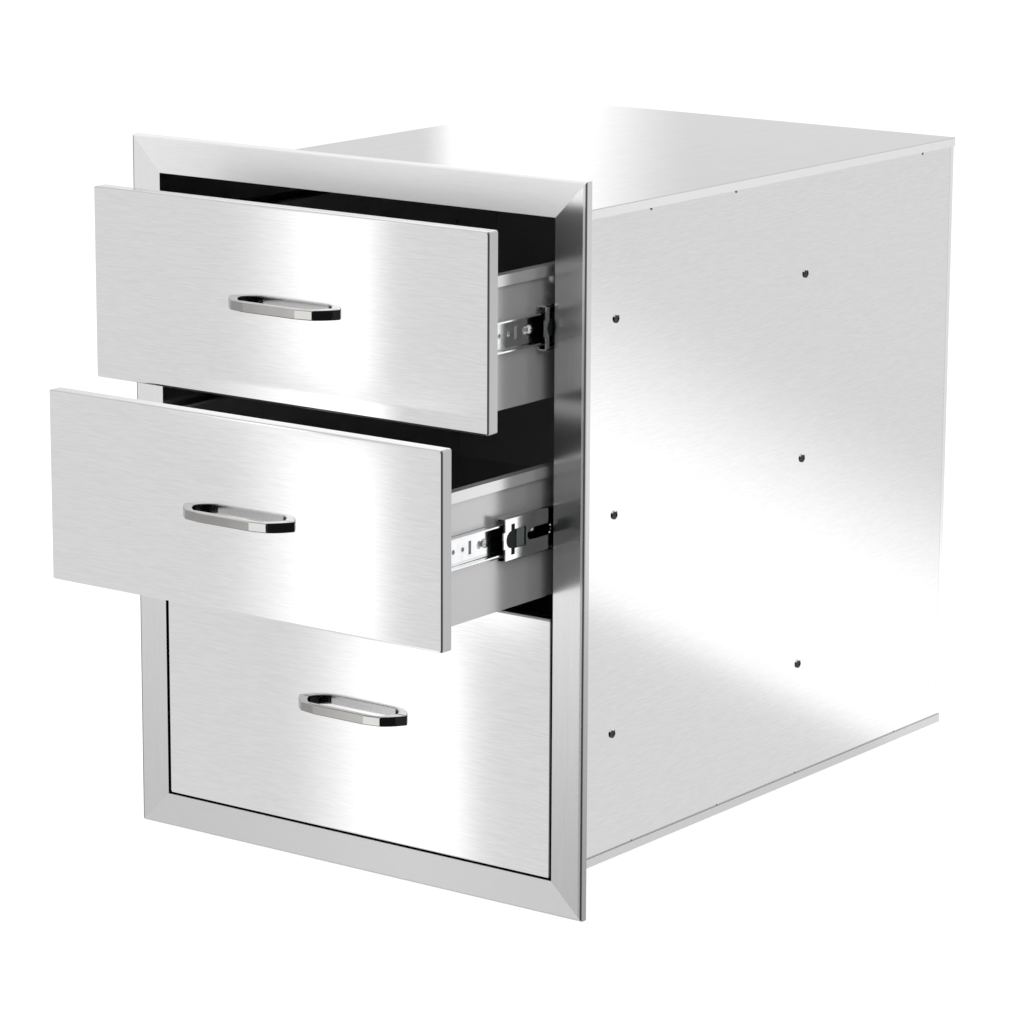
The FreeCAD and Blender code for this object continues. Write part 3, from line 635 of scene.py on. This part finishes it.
# soft is how much of the card its left, right, low and high borders take up, and later is the strength it has
# in what metal mirrors a second time
cards = {
    "topFrontCard": {
        "corners": upright(-1.1, -0.927, -0.69, 0.12, 0.9), "strength": 1.9, "soft": (0.78, 0.2, 0.03, 0.05),
    },
    "middleFrontCard": {
        "corners": upright(-1.1, -0.845, -0.585, -0.15, 0.12), "strength": 1.9, "soft": (0.72, 0.24, 0.03, 0.03),
    },
    "bottomFrontCard": {
        "corners": upright(-1.1, -0.985, -0.68, -0.9, -0.15), "strength": 1.9, "soft": (0.62, 0.24, 0.05, 0.03),
    },
    # two small ones behind the middle front, for what the lower edge of the top front mirrors when both are open.
    # They show only in metal that is nearer than reach.
    "gapCard": {
        "corners": upright(-0.1325, -0.199, 0.199, 0.345, 0.3727),
        "strength": 1.0, "soft": (0.01, 0.01, 0.01, 0.01), "reach": 0.1,
    },
    "gapBandCard": {
        "corners": upright(-0.132, -0.143, 0.088, 0.345, 0.3727),
        "strength": 1.9, "soft": (0.78, 0.2, 0.001, 0.001), "reach": 0.1,
    },
    "handleCard": {
        "corners": upright(-1.1, -0.37, -0.19, -0.3, 0.5), "strength": 2.7, "soft": (0.2, 0.2, 0.1, 0.1),
    },
    "sideCard": {
        "corners": [(1.0, 1.0, -0.054), (1.0, 2.4, -0.726), (1.0, 2.4, -0.265), (1.0, 1.0, 0.358)],
        "strength": 1.62, "soft": (0.05, 0.05, 0.05, 0.6),
    },
    "topCard": {
        "corners": upright(1.9, -1.41, -0.95, 0.3, 1.4), "strength": 1.74, "soft": (0.2, 0.6, 0.1, 0.1),
    },
    # a dark flag beside the camera, which metal that faces there shows, mostly in what it mirrors a second time
    "darkFlag": {
        "corners": [(0.2, -0.5, -0.6), (0.55, -0.23, -0.6), (0.55, -0.23, 0.8), (0.2, -0.5, 0.8)],
        "strength": 0.35, "soft": (0.12, 0.15, 0.15, 0.15), "later": 0.09,
    },
}
for name, look in cards.items():
    reflector(name, look)

# The camera and shiny metal see a white backdrop, and what is matt gets less light from it. Light that has
# gone from metal to metal is weaker, so that the unit's inside stays dark.
backdrop = {"light": 0.55, "mirrors": 3.5, "drop": 0.9}
world = bpy.data.worlds.new("studioWorld")
bpy.context.scene.world = world
sky = Finish(world)
seen = sky.ray("Is Camera Ray").atLeast(sky.ray("Is Glossy Ray")).atLeast(sky.ray("Is Transmission Ray"))
deep = sky.ray("Glossy Depth") > backdrop["mirrors"]
level = (backdrop["light"] + seen * (1.0 - backdrop["light"])) * (1.0 - deep * backdrop["drop"])
sky.surface(sky.add("ShaderNodeBackground", {}, {"Color": grey(1.0), "Strength": level}), "ShaderNodeOutputWorld")

# A pale floor that shows white and keeps the unit's shadow
ground = {"size": 30.0, "below": 0.0005, "grey": 0.6, "glow": 0.7}
floorMesh = bpy.data.meshes.new("floor")
bm = bmesh.new()
bmesh.ops.create_grid(bm, x_segments=1, y_segments=1, size=ground["size"])
bmesh.ops.translate(bm, verts=bm.verts, vec=(0.0, 0.0, cadBox[0].z - ground["below"]))
bm.to_mesh(floorMesh)
bm.free()
floor = bpy.data.objects.new("floor", floorMesh)
link(floor)
floorLook, finish = newMaterial("paleFloor")
matt = finish.add("ShaderNodeBsdfDiffuse", {}, {"Color": grey(ground["grey"])})
shine = finish.add("ShaderNodeEmission", {}, {"Strength": finish.ray("Is Camera Ray") * ground["glow"]})
finish.surface(finish.add("ShaderNodeAddShader", {}, {0: matt, 1: shine}))
floorMesh.materials.append(floorLook)
floor.visible_glossy = False

# Soft square lamps that light the matt parts and don't show in the metal
lamps = {
    "keyLamp": {"place": (-1.6, -2.4, 2.8), "size": 1.8, "power": 60.0},
    "fillLamp": {"place": (2.8, -0.8, 2.2), "size": 2.0, "power": 45.0},
}
lampTarget = Vector((0.0, 0.2, 0.2))
for name, look in lamps.items():
    data = bpy.data.lights.new(name, "AREA")
    data.shape = "SQUARE"
    data.size = look["size"]
    data.energy = look["power"]
    light = bpy.data.objects.new(name, data)
    light.location = look["place"]
    light.rotation_euler = (lampTarget - Vector(look["place"])).to_track_quat("-Z", "Y").to_euler()
    light.visible_camera = False
    light.visible_glossy = False
    link(light)

# The camera stands in front, to the right and a little above
camera = {
    "place": (1.99264, -2.48859, 0.98714), "turn": 36.448, "tilt": 12.674, "roll": 0.244,
    "lens": 143.205, "sensor": 36.0, "far": 50.0,
}
data = bpy.data.cameras.new("camera")
data.lens = camera["lens"]
data.sensor_width = camera["sensor"]
data.clip_end = camera["far"]
eye = bpy.data.objects.new("camera", data)
turn, tilt, roll = [math.radians(camera[key]) for key in ("turn", "tilt", "roll")]
back = Vector((math.sin(turn) * math.cos(tilt), -math.cos(turn) * math.cos(tilt), math.sin(tilt)))
right = Vector((math.cos(turn), math.sin(turn), 0.0))
up = back.cross(right)
acrossPicture = right * math.cos(roll) + up * math.sin(roll)
upPicture = up * math.cos(roll) - right * math.sin(roll)
pose = Matrix((acrossPicture, upPicture, back)).transposed().to_4x4()
pose.translation = camera["place"]
eye.matrix_world = pose
link(eye)
bpy.context.scene.camera = eye
bpy.context.scene.view_settings.view_transform = "Standard"
print("studio done")
